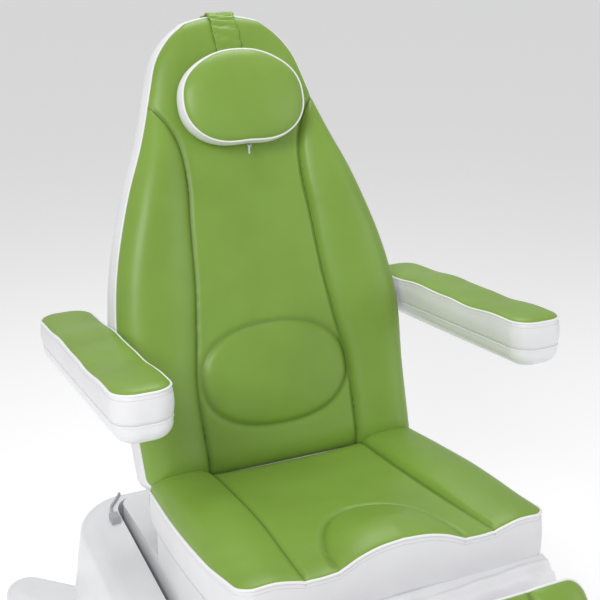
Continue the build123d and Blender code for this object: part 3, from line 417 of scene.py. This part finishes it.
def grained_wood(name, colour, dark):
    material, nodes, links, shader = new_material(name)
    shader.inputs["Roughness"].default_value = 0.6
    place = nodes.new("ShaderNodeTexCoord")
    turn = nodes.new("ShaderNodeMapping")
    turn.inputs["Scale"].default_value = (40, 3, 40)
    grain = nodes.new("ShaderNodeTexNoise")
    grain.inputs["Scale"].default_value = 2.0
    grain.inputs["Detail"].default_value = 6.0
    tone = nodes.new("ShaderNodeMix")
    tone.data_type = "RGBA"
    tone.inputs["A"].default_value = (*dark, 1)
    tone.inputs["B"].default_value = (*colour, 1)
    links.new(place.outputs["Object"], turn.inputs["Vector"])
    links.new(turn.outputs["Vector"], grain.inputs["Vector"])
    links.new(grain.outputs["Fac"], tone.inputs["Factor"])
    links.new(tone.outputs["Result"], shader.inputs["Base Color"])
    return material


GREEN = leather("green_leather", (0.215, 0.362, 0.052), (0.180, 0.306, 0.038), 0.40)
WHITE = leather("white_leather", (0.80, 0.80, 0.815), (0.74, 0.74, 0.76), 0.42)
PIPE = leather("white_piping", (0.88, 0.88, 0.89), (0.84, 0.84, 0.86), 0.38)
THREAD = moulded("white_thread", (0.70, 0.70, 0.71), 0.6)
GREEN_THREAD = moulded("green_thread", (0.13, 0.24, 0.03), 0.6)
SHELL = moulded("white_shell", (0.80, 0.805, 0.82), 0.24, coat=0.35)
GREY = moulded("grey_plastic", (0.42, 0.43, 0.45), 0.42, texture=0.10)
BLACK = moulded("black_plastic", (0.02, 0.02, 0.022), 0.45, texture=0.12)
STEEL_WHITE = moulded("light_powder_coat", (0.60, 0.61, 0.62), 0.45, texture=0.16, scale=700.0)
STEEL_DARK = moulded("dark_powder_coat", (0.035, 0.035, 0.04), 0.5, texture=0.16, scale=700.0)
BRIGHT = moulded("turned_steel", (0.60, 0.60, 0.62), 0.25, metal=1.0, texture=0.02)
NICKEL = moulded("nickel", (0.70, 0.70, 0.72), 0.22, metal=1.0, texture=0.02)
RUBBER = moulded("foot_rubber", (0.018, 0.018, 0.018), 0.75, texture=0.2)
JACKET = moulded("lead_jacket", (0.40, 0.41, 0.43), 0.45, texture=0.06)
PLYWOOD = grained_wood("plywood", (0.52, 0.36, 0.20), (0.36, 0.23, 0.12))
BY_SLOT = {"green_leather": GREEN, "white_leather": WHITE, "white_shell": SHELL, "grey_plastic": GREY,
           "black_plastic": BLACK, "white_steel": STEEL_WHITE, "dark_steel": STEEL_DARK,
           "bright_steel": BRIGHT, "plywood": PLYWOOD, "foot_rubber": RUBBER, "zip_metal": NICKEL,
           "lead_jacket": JACKET}
for row in frame["record"]["subparts"]:
    node = frame["nodes"][row["node"]]
    for material_slot in node.material_slots:
        material_slot.material = BY_SLOT[row["material_slot"]]
    if not node.material_slots:
        node.data.materials.append(BY_SLOT[row["material_slot"]])


# the boards' edges and backs are covered with the same white leather, and the lead's gland is grey
for name, finish in (("back_board", WHITE), ("leg_board", WHITE), ("lead_gland", GREY)):
    for material_slot in frame["nodes"][name].material_slots:
        material_slot.material = finish


# ---------------------------------------------------------------- camera, light and floor
AZIMUTH, ELEVATION = math.radians(-25.0), math.radians(19.29)
camera_data = bpy.data.cameras.new("camera")
camera_data.sensor_width = 36.0
camera_data.lens = 66.47
camera_data.shift_x = 0.003
camera_data.shift_y = -0.003
camera = bpy.data.objects.new("camera", camera_data)
bpy.context.scene.collection.objects.link(camera)
camera.location = (-0.8278, -1.5885, 1.5814)
backwards = Vector((math.sin(AZIMUTH) * math.cos(ELEVATION), -math.cos(AZIMUTH) * math.cos(ELEVATION),
                    math.sin(ELEVATION)))
camera.rotation_euler = (-backwards).to_track_quat("-Z", "Y").to_euler()
bpy.context.scene.camera = camera


def soft_light(name, location, target, size, power, colour=(1, 1, 1)):
    data = bpy.data.lights.new(name, "AREA")
    data.shape = "DISK"
    data.size = size
    data.energy = power
    data.color = colour
    light = bpy.data.objects.new(name, data)
    light.location = location
    light.rotation_euler = (Vector(target) - Vector(location)).to_track_quat("-Z", "Y").to_euler()
    bpy.context.scene.collection.objects.link(light)


soft_light("key", (-2.2, -1.7, 2.8), (0, 0, 0.8), 1.5, 54)
soft_light("fill", (2.6, -1.6, 1.6), (0, 0, 0.7), 2.2, 16)
soft_light("top", (0.4, 1.2, 3.0), (0, 0.2, 0.7), 1.6, 24)
world = bpy.data.worlds.new("studio")
world.use_nodes = True
world.node_tree.nodes["Background"].inputs["Color"].default_value = (1.0, 1.0, 1.0, 1)
world.node_tree.nodes["Background"].inputs["Strength"].default_value = 0.50
bpy.context.scene.world = world
bpy.context.scene.view_settings.view_transform = "Standard"
bpy.ops.mesh.primitive_plane_add(size=300, location=(0, 0, 0))
floor = bpy.context.object
floor.name = "floor"
FLOOR, _, _, floor_shader = new_material("pale_floor")
floor_shader.inputs["Base Color"].default_value = (0.90, 0.90, 0.91, 1)
floor_shader.inputs["Roughness"].default_value = 0.85
floor_shader.inputs["Emission Color"].default_value = (1, 1, 1, 1)
floor_shader.inputs["Emission Strength"].default_value = 0.22
floor.data.materials.append(FLOOR)


# ---------------------------------------------------------------- handset lead
HOOD_REAR_LOW, HOOD_LEAN_IN, HOOD_FLOOR_GAP, HOOD_LOFT = 0.562, 0.055, 0.024, 0.428
HANDSET_X = -0.190


def on_wall(across, z, out):
    """A point of the lead beside the hood's rear face, from the handset's middle."""
    return HANDSET_X + across, HOOD_REAR_LOW - (z - HOOD_FLOOR_GAP) / HOOD_LOFT * HOOD_LEAN_IN + out, z


wall_lean = math.atan2(HOOD_LEAN_IN, HOOD_LOFT)
HANDSET_TOP, HANDSET_LENGTH, LEAD_OUT = 0.330, 0.150, 0.0156
LEAD_RADIUS = 0.0026
_, top_y, top_z = on_wall(0, HANDSET_TOP, 0)


def down_wall(distance):
    """A point in line with the handset, distance below its top along the hood's face."""
    y = top_y + distance * math.sin(wall_lean) + LEAD_OUT * math.cos(wall_lean)
    return HANDSET_X, y, top_z - distance * math.cos(wall_lean) + LEAD_OUT * math.sin(wall_lean)


lead_exit = down_wall(HANDSET_LENGTH)
away = down_wall(HANDSET_LENGTH + 0.028)
GLAND = (-0.318, 0.420, 0.38917)
lead_points = [
    lead_exit,
    away,
    on_wall(-0.002, away[2] - 0.033, 0.017),
    on_wall(-0.007, away[2] - 0.062, 0.016),
    on_wall(-0.029, away[2] - 0.086, 0.014),
    on_wall(-0.060, away[2] - 0.088, 0.012),
    on_wall(-0.083, away[2] - 0.062, 0.010),
    on_wall(-0.087, away[2] - 0.020, 0.009),
    on_wall(-0.083, away[2] + 0.032, 0.007),
    on_wall(-0.082, away[2] + 0.086, 0.006),
    on_wall(-0.085, away[2] + 0.136, 0.005),
    on_wall(-0.084, away[2] + 0.180, 0.0042),
    (HANDSET_X - 0.086, 0.5206, 0.3760),
    (HANDSET_X - 0.091, 0.4986, 0.3934),
    (HANDSET_X - 0.106, 0.4740, 0.3922),
    (GLAND[0], GLAND[1] + 0.029, GLAND[2]),
    GLAND,
]
lead_curve = bpy.data.curves.new("handset_lead_run", "CURVE")
lead_curve.dimensions = "3D"
lead_curve.bevel_depth = LEAD_RADIUS
lead_curve.bevel_resolution = 3
lead_curve.resolution_u = 8
lead_curve.use_fill_caps = True
lead_spline = lead_curve.splines.new("NURBS")
lead_spline.points.add(len(lead_points) - 1)
for knot, point in zip(lead_spline.points, lead_points):
    knot.co = (*point, 1)
lead_spline.order_u = 3
lead_spline.use_endpoint_u = True
lead_curve.materials.append(JACKET)
lead = bpy.data.objects.new("handset_lead_run", lead_curve)
bpy.context.scene.collection.objects.link(lead)
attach(lead, "base")
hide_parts("handset_lead")


# ---------------------------------------------------------------- backrest
BACK_LOW, BACK_TOP_SIDE, BACK_CROWN = -0.015, 0.882, 0.012
BACK_HALF_LENGTH = 0.448
BACK_HALF = [(-0.015, 0.290), (0.145, 0.296), (0.277, 0.306), (0.360, 0.297), (0.430, 0.282), (0.509, 0.258),
             (0.570, 0.236), (0.640, 0.206), (0.706, 0.182), (0.755, 0.167), (0.812, 0.147), (0.854, 0.115),
             (0.882, 0.078)]
BACK_SEAM = [(-0.015, 0.163), (0.160, 0.165), (0.273, 0.150), (0.360, 0.139), (0.490, 0.130),
             (0.566, 0.124), (0.636, 0.129), (0.680, 0.146), (0.712, 0.169), (0.735, 0.190)]
SEAM_ENDS, SEAM_GONE, SEAM_FADE = 0.74, 0.80, 0.06      # where the two seams run out into the piping
LUMBAR_X, LUMBAR_Y, LUMBAR_HALF_X, LUMBAR_HALF_Y = 0.004, 0.168, 0.157, 0.103


def back_height(u, v, half, top, edge):
    """The backrest face's height, and the strength of the painted shade in its creases, at a point."""
    side = abs(u)
    seam = through(BACK_SEAM, v)
    wing = half - seam
    crease_shade = 0.0
    if wing > 0.002 and side > seam:
        a = min((side - seam) / wing, 1.0)
        height = 0.027 * min(wing / 0.13, 1.0) * (4 * a * (1 - a)) ** 0.62
        height += 0.006 * ease(a) * min(wing / 0.1, 1.0)
    else:
        height = 0.005 * (1 - (side / max(seam, half * 0.9)) ** 2)
    reach = ease((0.745 - v) / 0.03)
    to_seam = abs(side - seam)
    shallow = 0.3 + 0.7 * ease(edge / 0.025)
    height += groove(to_seam, SEAM_DEPTH * reach * shallow, SEAM_WIDTH)
    # the strength of the painted shade that darkens the seam's groove
    crease_shade = max(crease_shade, 0.55 * reach * math.exp(-(to_seam / CREASE_WIDTH) ** 2))
    across, up = abs(u - LUMBAR_X) / LUMBAR_HALF_X, abs(v - LUMBAR_Y) / LUMBAR_HALF_Y
    oval = (across ** 2.35 + up ** 2.35) ** (1 / 2.35)
    to_oval = abs(oval - 1) * 0.115
    if oval < 1:
        height += 0.014 * (1 - oval ** 2) ** 0.6
    height += groove(to_oval, 0.0042, 0.0065)
    # painted shade in the lumbar oval's groove, softer than at the seams
    crease_shade = max(crease_shade, 0.35 * math.exp(-(to_oval / SOFT_CREASE_WIDTH) ** 2))
    near = math.exp(-min(to_seam, to_oval) / PUCKER_REACH)
    height += 0.0006 * soft_noise(u, v, 14, 3.1) + 0.0007 * near * soft_noise(u, v, 60, 5.3)
    return height - roll(edge, 0.050, 0.022), crease_shade


def back_shape(s, t):
    v = BACK_LOW + (BACK_TOP_SIDE - BACK_LOW) * (t + 1) / 2
    half = through(BACK_HALF, v)
    across_edge = (1 - abs(s)) * half
    seam = through(BACK_SEAM, v) * ease((SEAM_GONE - v) / SEAM_FADE)
    seam += half * 0.5 * ease((v - SEAM_ENDS) / SEAM_FADE)
    s = lay_columns(s, half, seam)
    edge = min((1 - abs(s)) * half, across_edge * 3, (t + 1) * BACK_HALF_LENGTH, (1 - t) * BACK_HALF_LENGTH)
    u = s * half
    crown = BACK_CROWN * (1 - s * s)
    v += crown * ease((v - 0.78) / 0.10)
    top = BACK_TOP_SIDE + crown
    if v < BACK_LOW + 0.022:
        u, v = rounded(u, v, half, BACK_LOW, 1.0, 0.022)
    height, crease_shade = back_height(u, v, half, top, edge)
    return u, v, height, crease_shade


BACK_REAR = -0.0870
bm = pad_face(168, 250, back_shape)
rim = [BACK @ (v.co + PIPE_LIFT) for v in rim_of(bm)]
add_sides(bm, lambda x, y: BACK_REAR + 0.012, 0.007, 8)
back_pad = finish_mesh(bm, "backrest_pad", BACK, [GREEN, WHITE])
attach(back_pad, "back")
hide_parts("back_cushion")
piping("backrest_piping", rim, PIPE_RADIUS, PIPE, "back")


# ---------------------------------------------------------------- seat
SEAT_LENGTH, SEAT_CORNER = 0.469, 0.030
SEAT_HALF = [(0.0, 0.290), (0.15, 0.300), (0.32, 0.299), (0.469, 0.290)]
SEAT_WAVE = [(0.0, 0.022), (0.045, 0.018), (0.082, 0.009), (0.116, -0.004), (0.150, -0.008), (0.180, -0.006),
             (0.232, 0.004), (0.290, 0.001)]
SEAT_SEAM = [(0.0, 0.180), (0.20, 0.166), (0.35, 0.164), (0.469, 0.167)]
POMMEL_HALF, POMMEL_DEPTH = 0.120, 0.176


def seat_shape(s, t):
    v = SEAT_LENGTH * (t + 1) / 2
    half = through(SEAT_HALF, v)
    front = v
    s = lay_columns(s, half, through(SEAT_SEAM, v))
    u, v = rounded(s * half, v, half, 0.0, SEAT_LENGTH + 0.05, SEAT_CORNER)
    side = abs(u)
    seam = through(SEAT_SEAM, front)
    wave = through(SEAT_WAVE, side)
    height = wave * math.exp(-(v / 0.16) ** 2)
    if side > seam:
        a = (side - seam) / (half - seam)
        a = min(a, 1.0)
        height += 0.018 * (4 * a * (1 - a)) ** 0.6 * ease(front / 0.24)
    else:
        height -= 0.004 * (1 - (side / seam) ** 2) * ease(v / 0.2)
    to_seam = abs(side - seam)
    shallow = 0.25 + 0.75 * ease(min(v, SEAT_LENGTH - v) / 0.025)
    height += groove(to_seam, SEAM_DEPTH * shallow, SEAM_WIDTH)
    # the strength of the painted shade that darkens the seam's groove, and below it the pommel's groove
    crease_shade = 0.55 * math.exp(-(to_seam / CREASE_WIDTH) ** 2)
    oval = math.hypot(u / POMMEL_HALF, v / POMMEL_DEPTH)
    to_oval = abs(oval - 1) * 0.14
    if oval < 1:
        height += 0.014 * (1 - oval ** 2) ** 0.55 * ease(0.2 + front / 0.10)
    height += groove(to_oval, 0.0052 * shallow, 0.0062)
    crease_shade = max(crease_shade, 0.35 * math.exp(-(to_oval / SOFT_CREASE_WIDTH) ** 2))
    near = math.exp(-min(to_seam, to_oval) / PUCKER_REACH)
    height += 0.0006 * soft_noise(u, v, 14, 8.1) + 0.0007 * near * soft_noise(u, v, 60, 2.3)
    edge = min((1 - abs(s)) * half, front, SEAT_LENGTH - front)
    height -= roll(edge, 0.038, 0.008 + 0.008 * ease(front / 0.14))
    return u, v, height, crease_shade


def seat_bottom(x, y):
    """The gusset's lower edge, which hangs lower beside the middle of the front."""
    return -0.085 - 0.008 * math.exp(-((abs(x) - 0.155) / 0.07) ** 2) * math.exp(-y / 0.05)


bm = pad_face(168, 140, seat_shape)
loop = rim_of(bm)
seen = [v.co.y < SEAT_LENGTH - 0.004 for v in loop]
first = next(i for i in range(len(loop)) if seen[i] and not seen[i - 1])
loop = [v for v in loop[first:] + loop[:first] if v.co.y < SEAT_LENGTH - 0.004]
rim = [SEAT @ (v.co + PIPE_LIFT) for v in loop]
seat_row = beside_rim([v.co.copy() for v in loop], SEAT, 0.0085, 0.0009, closed=False)
add_sides(bm, seat_bottom, 0.0025, 10)
for f in bm.faces:
    if f.calc_center_median().y > SEAT_LENGTH - 0.003 and f.calc_center_median().z > -0.045:
        f.material_index = 0
seat_pad = finish_mesh(bm, "seat_pad", SEAT, [GREEN, WHITE])
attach(seat_pad, "platform")
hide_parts("seat_cushion")
piping("seat_piping", rim, PIPE_RADIUS, PIPE, "platform", cyclic=False)
stitches("seat_gusset_stitches", seat_row, THREAD, "platform", thick=SEWING_THREAD)


# ---------------------------------------------------------------- leg rest
LEG_LENGTH, LEG_HALF = 0.500, 0.286


def leg_shape(s, t):
    v = -LEG_LENGTH * (1 - t) / 2
    near_end = v
    s = lay_columns(s, LEG_HALF, 0.180)
    u, v = rounded(s * LEG_HALF, v, LEG_HALF, -LEG_LENGTH, 0.0, 0.036)
    side = abs(u)
    seam = 0.180
    if side > seam:
        a = (side - seam) / (LEG_HALF - seam)
        height = 0.016 * max(4 * a * (1 - a), 0.0) ** 0.6
    else:
        height = 0.004 * (1 - (side / seam) ** 2)
    to_seam = abs(side - seam)
    shallow = 0.25 + 0.75 * ease(min(-v, v + LEG_LENGTH) / 0.025)
    height += groove(to_seam, SEAM_DEPTH * shallow, SEAM_WIDTH)
    # the strength of the painted shade that darkens the seam's groove
    crease_shade = 0.55 * math.exp(-(to_seam / CREASE_WIDTH) ** 2)
    near = math.exp(-to_seam / PUCKER_REACH)
    height += 0.0007 * near * soft_noise(u, v, 60, 7.7)
    edge = min((1 - abs(s)) * LEG_HALF, -near_end, near_end + LEG_LENGTH)
    return u, v, height - roll(edge, 0.040, 0.014), crease_shade


bm = pad_face(124, 110, leg_shape)
rim = [LEG @ (v.co + PIPE_LIFT) for v in rim_of(bm)]
leg_row = beside_rim([v.co.copy() for v in rim_of(bm)], LEG, 0.0085, 0.0005)
add_sides(bm, lambda x, y: -0.086, 0.001, 8)
leg_pad = finish_mesh(bm, "leg_rest_pad", LEG, [GREEN, WHITE])
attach(leg_pad, "leg")
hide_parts("leg_cushion")
piping("leg_rest_piping", rim, PIPE_RADIUS, PIPE, "leg")
stitches("leg_rest_gusset_stitches", leg_row, THREAD, "leg", thick=SEWING_THREAD)


# ---------------------------------------------------------------- armrests
ARM_HALF, ARM_LENGTH, ARM_CORNER, ARM_PAD = 0.0505, 0.562, 0.040, 0.050
ARM_MIDDLE = 0.3765


def arm_shape(s, t):
    v = ARM_LENGTH * (t + 1) / 2
    u, v = rounded(s * ARM_HALF, v, ARM_HALF, 0.0, ARM_LENGTH, ARM_CORNER)
    edge = min((1 - abs(s)) * ARM_HALF, (t + 1) / 2 * ARM_LENGTH, (1 - t) / 2 * ARM_LENGTH)
    height = 0.010 + 0.0022 * math.sin(v * 21.0 + 0.6) - 0.0010 * math.sin(v * 47.0)
    height += 0.0006 * soft_noise(u, v, 30, 4.2)
    return u, v, height - roll(edge, 0.034, 0.010), 0.0


for name, side in (("left", -1), ("right", 1)):
    place = ARM @ Matrix.Translation((side * ARM_MIDDLE, 0, 0))
    bm = pad_face(26, 120, arm_shape)
    rim = [place @ (v.co + Vector((0, 0, 0.0006))) for v in rim_of(bm)]
    seam = [place @ Vector((v.co.x, v.co.y, -ARM_PAD - 0.0002)) for v in rim_of(bm)]
    arm_row = beside_rim([v.co.copy() for v in rim_of(bm)], place, 0.0075, 0.0016)
    add_sides(bm, lambda x, y: -ARM_PAD, 0.0035, 6)
    arm_pad = finish_mesh(bm, f"armrest_pad_{name}", place, [GREEN, WHITE])
    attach(arm_pad, f"arm_{name}")
    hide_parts(f"arm_pad_{name}")
    piping(f"armrest_piping_{name}", rim, FINE_PIPE_RADIUS, PIPE, f"arm_{name}")
    stitches(f"armrest_stitches_{name}", arm_row, THREAD, f"arm_{name}", thick=SEWING_THREAD)
    piping(f"armrest_seam_{name}", seam, SEAM_CORD_RADIUS, PIPE, f"arm_{name}")


# ---------------------------------------------------------------- head pillow and strap
PILLOW_UP, PILLOW_HALF_X, PILLOW_HALF_Y = 0.718, 0.127, 0.093
PILLOW_BACK, PILLOW_RIM = 0.0122, 0.0560


def pillow_reach(angle):
    """The pillow outline's distance from its middle: round above, wide low lobes and a hollow below."""
    power = 2.35
    reach = ((abs(math.cos(angle)) / PILLOW_HALF_X) ** power
             + (abs(math.sin(angle)) / PILLOW_HALF_Y) ** power) ** (-1 / power)
    down = (angle + math.pi / 2 + math.pi) % (2 * math.pi) - math.pi
    reach -= 0.007 * math.exp(-(down / 0.55) ** 2)
    up = (angle - math.pi / 2 + math.pi) % (2 * math.pi) - math.pi
    return reach - 0.006 * math.exp(-((abs(up) - 0.95) / 0.45) ** 2)


def pillow_shape(s, t):
    size = max(abs(s), abs(t))
    angle = math.atan2(t, s)
    reach = pillow_reach(angle) * size
    crown = 0.024 * (1 - size ** 2) ** 0.75
    height = PILLOW_RIM + crown - roll((1 - size) * 0.09, 0.02, 0.004) + 0.0006 * soft_noise(s, t, 3, 1.4)
    return reach * math.cos(angle), reach * math.sin(angle), height, 0.0


PILLOW = BACK @ Matrix.Translation((0, PILLOW_UP, 0))
bm = pad_face(64, 64, pillow_shape)
rim_local = [v.co.copy() for v in rim_of(bm)]
add_sides(bm, lambda x, y: PILLOW_BACK, 0.004, 8)
pillow = finish_mesh(bm, "head_pillow_pad", PILLOW, [GREEN, WHITE])
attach(pillow, "pillow")
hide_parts("head_pillow")
piping("pillow_piping", [PILLOW @ (p + Vector((0, 0, 0.0006))) for p in rim_local], FINE_PIPE_RADIUS, PIPE,
       "pillow")

STRAP_HALF = 0.027
STRAP_LINE = [(0.640, 0.0066), (0.700, 0.0066), (0.760, 0.0066), (0.815, 0.0066), (0.850, 0.0062),
              (0.874, 0.001),
              (0.890, -0.005), (0.900, -0.014), (0.9035, -0.028), (0.9020, -0.060), (0.898, -0.082),
              (0.886, -0.0905), (0.858, -0.0912)]


def along_strap(share):
    place = share * (len(STRAP_LINE) - 1)
    rows = list(enumerate(STRAP_LINE))
    return through([(i, p[0]) for i, p in rows], place), through([(i, p[1]) for i, p in rows], place)


def strap_point(across, share):
    up, out = along_strap(share)
    up2, out2 = along_strap(min(share + 0.01, 1.0))
    up1, out1 = along_strap(max(share - 0.01, 0.0))
    slope = Vector((up2 - up1, out2 - out1)).normalized()
    puff = 0.0024 * soft_noise(across, share, 55, 6.1) + 0.0010 * math.sin(share * 90 + across * 60)
    half = STRAP_HALF * (1 - 0.05 * math.sin(share * 31))
    x = across / STRAP_HALF * half - 0.0012 * math.sin(share * 17)
    return Vector((x, up - slope.y * puff, out + slope.x * (puff + 0.0010)))


bm = bmesh.new()
bmesh.ops.create_grid(bm, x_segments=16, y_segments=110, size=1.0)
bm.verts.layers.float.new("crease_shade")
for v in bm.verts:
    v.co = strap_point(v.co.x * STRAP_HALF, (v.co.y + 1) / 2)
bmesh.ops.recalc_face_normals(bm, faces=bm.faces)
strap = finish_mesh(bm, "head_strap_band", BACK, [GREEN])
thick = strap.modifiers.new("thickness", "SOLIDIFY")
thick.thickness = 0.0018
thick.offset = 0.0
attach(strap, "back")
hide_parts("head_strap")
for row, across in enumerate((-0.0225, -0.0185)):
    line = [BACK @ strap_point(across, i / 160) for i in range(60, 161)]
    stitches(f"head_strap_stitches_{row + 1}", line, GREEN_THREAD, "back", thick=0.0007)


# ---------------------------------------------------------------- apron under the seat's front
APRON_HALF = 0.281
apron_top = SEAT @ Vector((0, 0.003, -0.0815))
apron_end = LEG @ Vector((0, 0.004, -0.070))


def apron_point(across, down):
    """The apron hangs from the seat's gusset in soft folds and is sewn to the leg rest's near end."""
    point = apron_top.lerp(apron_end, down)
    belly = math.sin(math.pi * down)
    x = across * APRON_HALF
    fold = 0.0045 * math.sin(x * 34 + down * 4 + 1.3 * math.sin(x * 21))
    fold += 0.004 * soft_noise(x, down * 0.06, 26, 9.2)
    tuck = 0.0030 * math.sin(down * 15 + x * 9)
    return Vector((x, point.y - belly * (0.004 + fold * 0.5), point.z + belly * (0.010 + fold + tuck)))


bm = bmesh.new()
bmesh.ops.create_grid(bm, x_segments=170, y_segments=36, size=1.0)
bm.verts.layers.float.new("crease_shade")
for v in bm.verts:
    v.co = apron_point(v.co.x, (1 - v.co.y) / 2)
bmesh.ops.recalc_face_normals(bm, faces=bm.faces)
apron = finish_mesh(bm, "seat_front_apron", Matrix(), [WHITE])
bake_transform(apron, "platform", "leg", start=tuple(apron_top), end=tuple(apron_end))
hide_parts("seat_apron")
